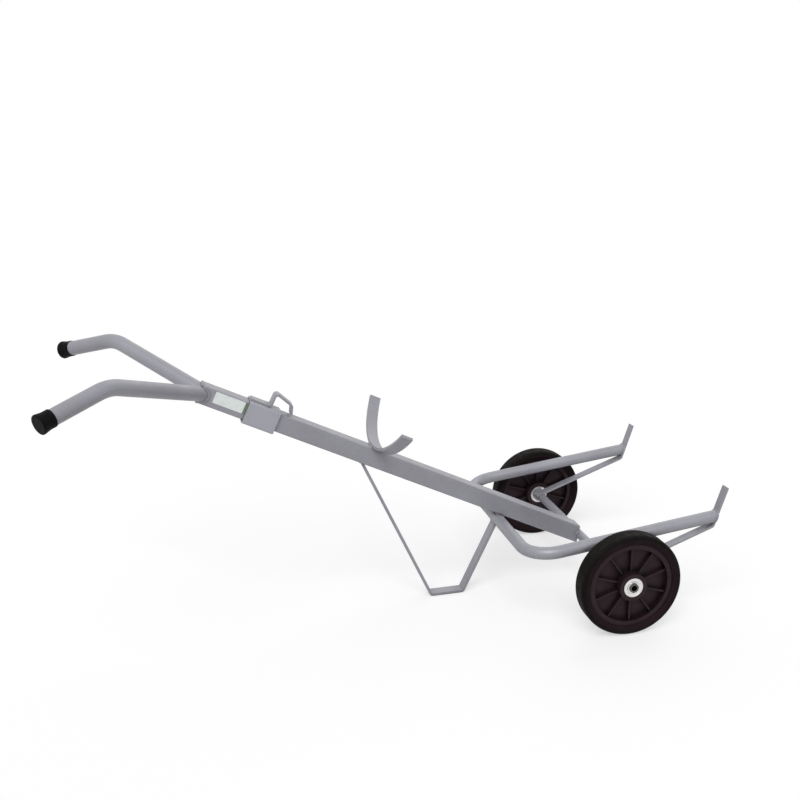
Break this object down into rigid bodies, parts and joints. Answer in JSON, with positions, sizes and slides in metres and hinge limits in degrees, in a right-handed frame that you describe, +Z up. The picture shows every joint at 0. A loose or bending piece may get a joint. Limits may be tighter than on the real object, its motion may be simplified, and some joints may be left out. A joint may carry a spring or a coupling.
{
  "type": "drum trolley",
  "caption": "Tubular steel drum trolley with a square spine, splayed handles, a sliding rim hook, an arched saddle, forked toes, rubber wheels and a fixed parking stand.",
  "frame": {"origin": "on the floor under the middle of the trolley's box", "axes": "+X towards the toes, +Y to the left of a person at the handles, +Z up"},
  "size_m": [1.3846, 0.6112, 0.6141],
  "materials": {
    "silver_paint": "satin silver-grey paint",
    "black_plastic": "moulded black plastic",
    "tyre_rubber": "solid rubber",
    "hub_plastic": "moulded brownish black plastic",
    "bright_steel": "bright zinc-plated steel"
  },
  "bodies": {
    "frame": {"spine_tube": "silver_paint", "drum_saddle": "silver_paint", "parking_stand": "silver_paint", "fork_tube": "silver_paint", "axle_tube": "silver_paint", "left_handle_tube": "silver_paint", "left_toe_bracket": "silver_paint", "left_axle_collar": "silver_paint", "left_handle_cap": "black_plastic", "left_bearing_spacer": "bright_steel", "left_retaining_ring": "bright_steel", "left_outboard_bearing_inner_ring": "bright_steel", "left_inboard_bearing_inner_ring": "bright_steel", "right_handle_tube": "silver_paint", "right_toe_bracket": "silver_paint", "right_axle_collar": "silver_paint", "right_handle_cap": "black_plastic", "right_bearing_spacer": "bright_steel", "right_retaining_ring": "bright_steel", "right_outboard_bearing_inner_ring": "bright_steel", "right_inboard_bearing_inner_ring": "bright_steel"},
    "left_wheel": {"left_tyre": "tyre_rubber", "left_wheel_hub": "hub_plastic", "left_outboard_bearing_outer_ring": "bright_steel", "left_outboard_bearing_balls": "bright_steel", "left_outboard_bearing_shield": "bright_steel", "left_inboard_bearing_outer_ring": "bright_steel", "left_inboard_bearing_balls": "bright_steel", "left_inboard_bearing_shield": "bright_steel"},
    "right_wheel": {"right_tyre": "tyre_rubber", "right_wheel_hub": "hub_plastic", "right_outboard_bearing_outer_ring": "bright_steel", "right_outboard_bearing_balls": "bright_steel", "right_outboard_bearing_shield": "bright_steel", "right_inboard_bearing_outer_ring": "bright_steel", "right_inboard_bearing_balls": "bright_steel", "right_inboard_bearing_shield": "bright_steel"},
    "rim_clamp": {"clamp_sleeve": "silver_paint", "rim_hook": "silver_paint"}
  },
  "joints": [
    {"name": "left_wheel_spin", "type": "hinge", "parent": "frame", "child": "left_wheel", "pos_m": [0.44933, 0.274, 0.1125], "axis": [0, 1, 0], "continuous": true},
    {"name": "right_wheel_spin", "type": "hinge", "parent": "frame", "child": "right_wheel", "pos_m": [0.44933, -0.274, 0.1125], "axis": [0, 1, 0], "continuous": true},
    {"name": "clamp_slide", "type": "slide", "parent": "frame", "child": "rim_clamp", "axis": [-0.8988, 0, 0.4384], "range_m": [-0.18, 0.075]}
  ]
}
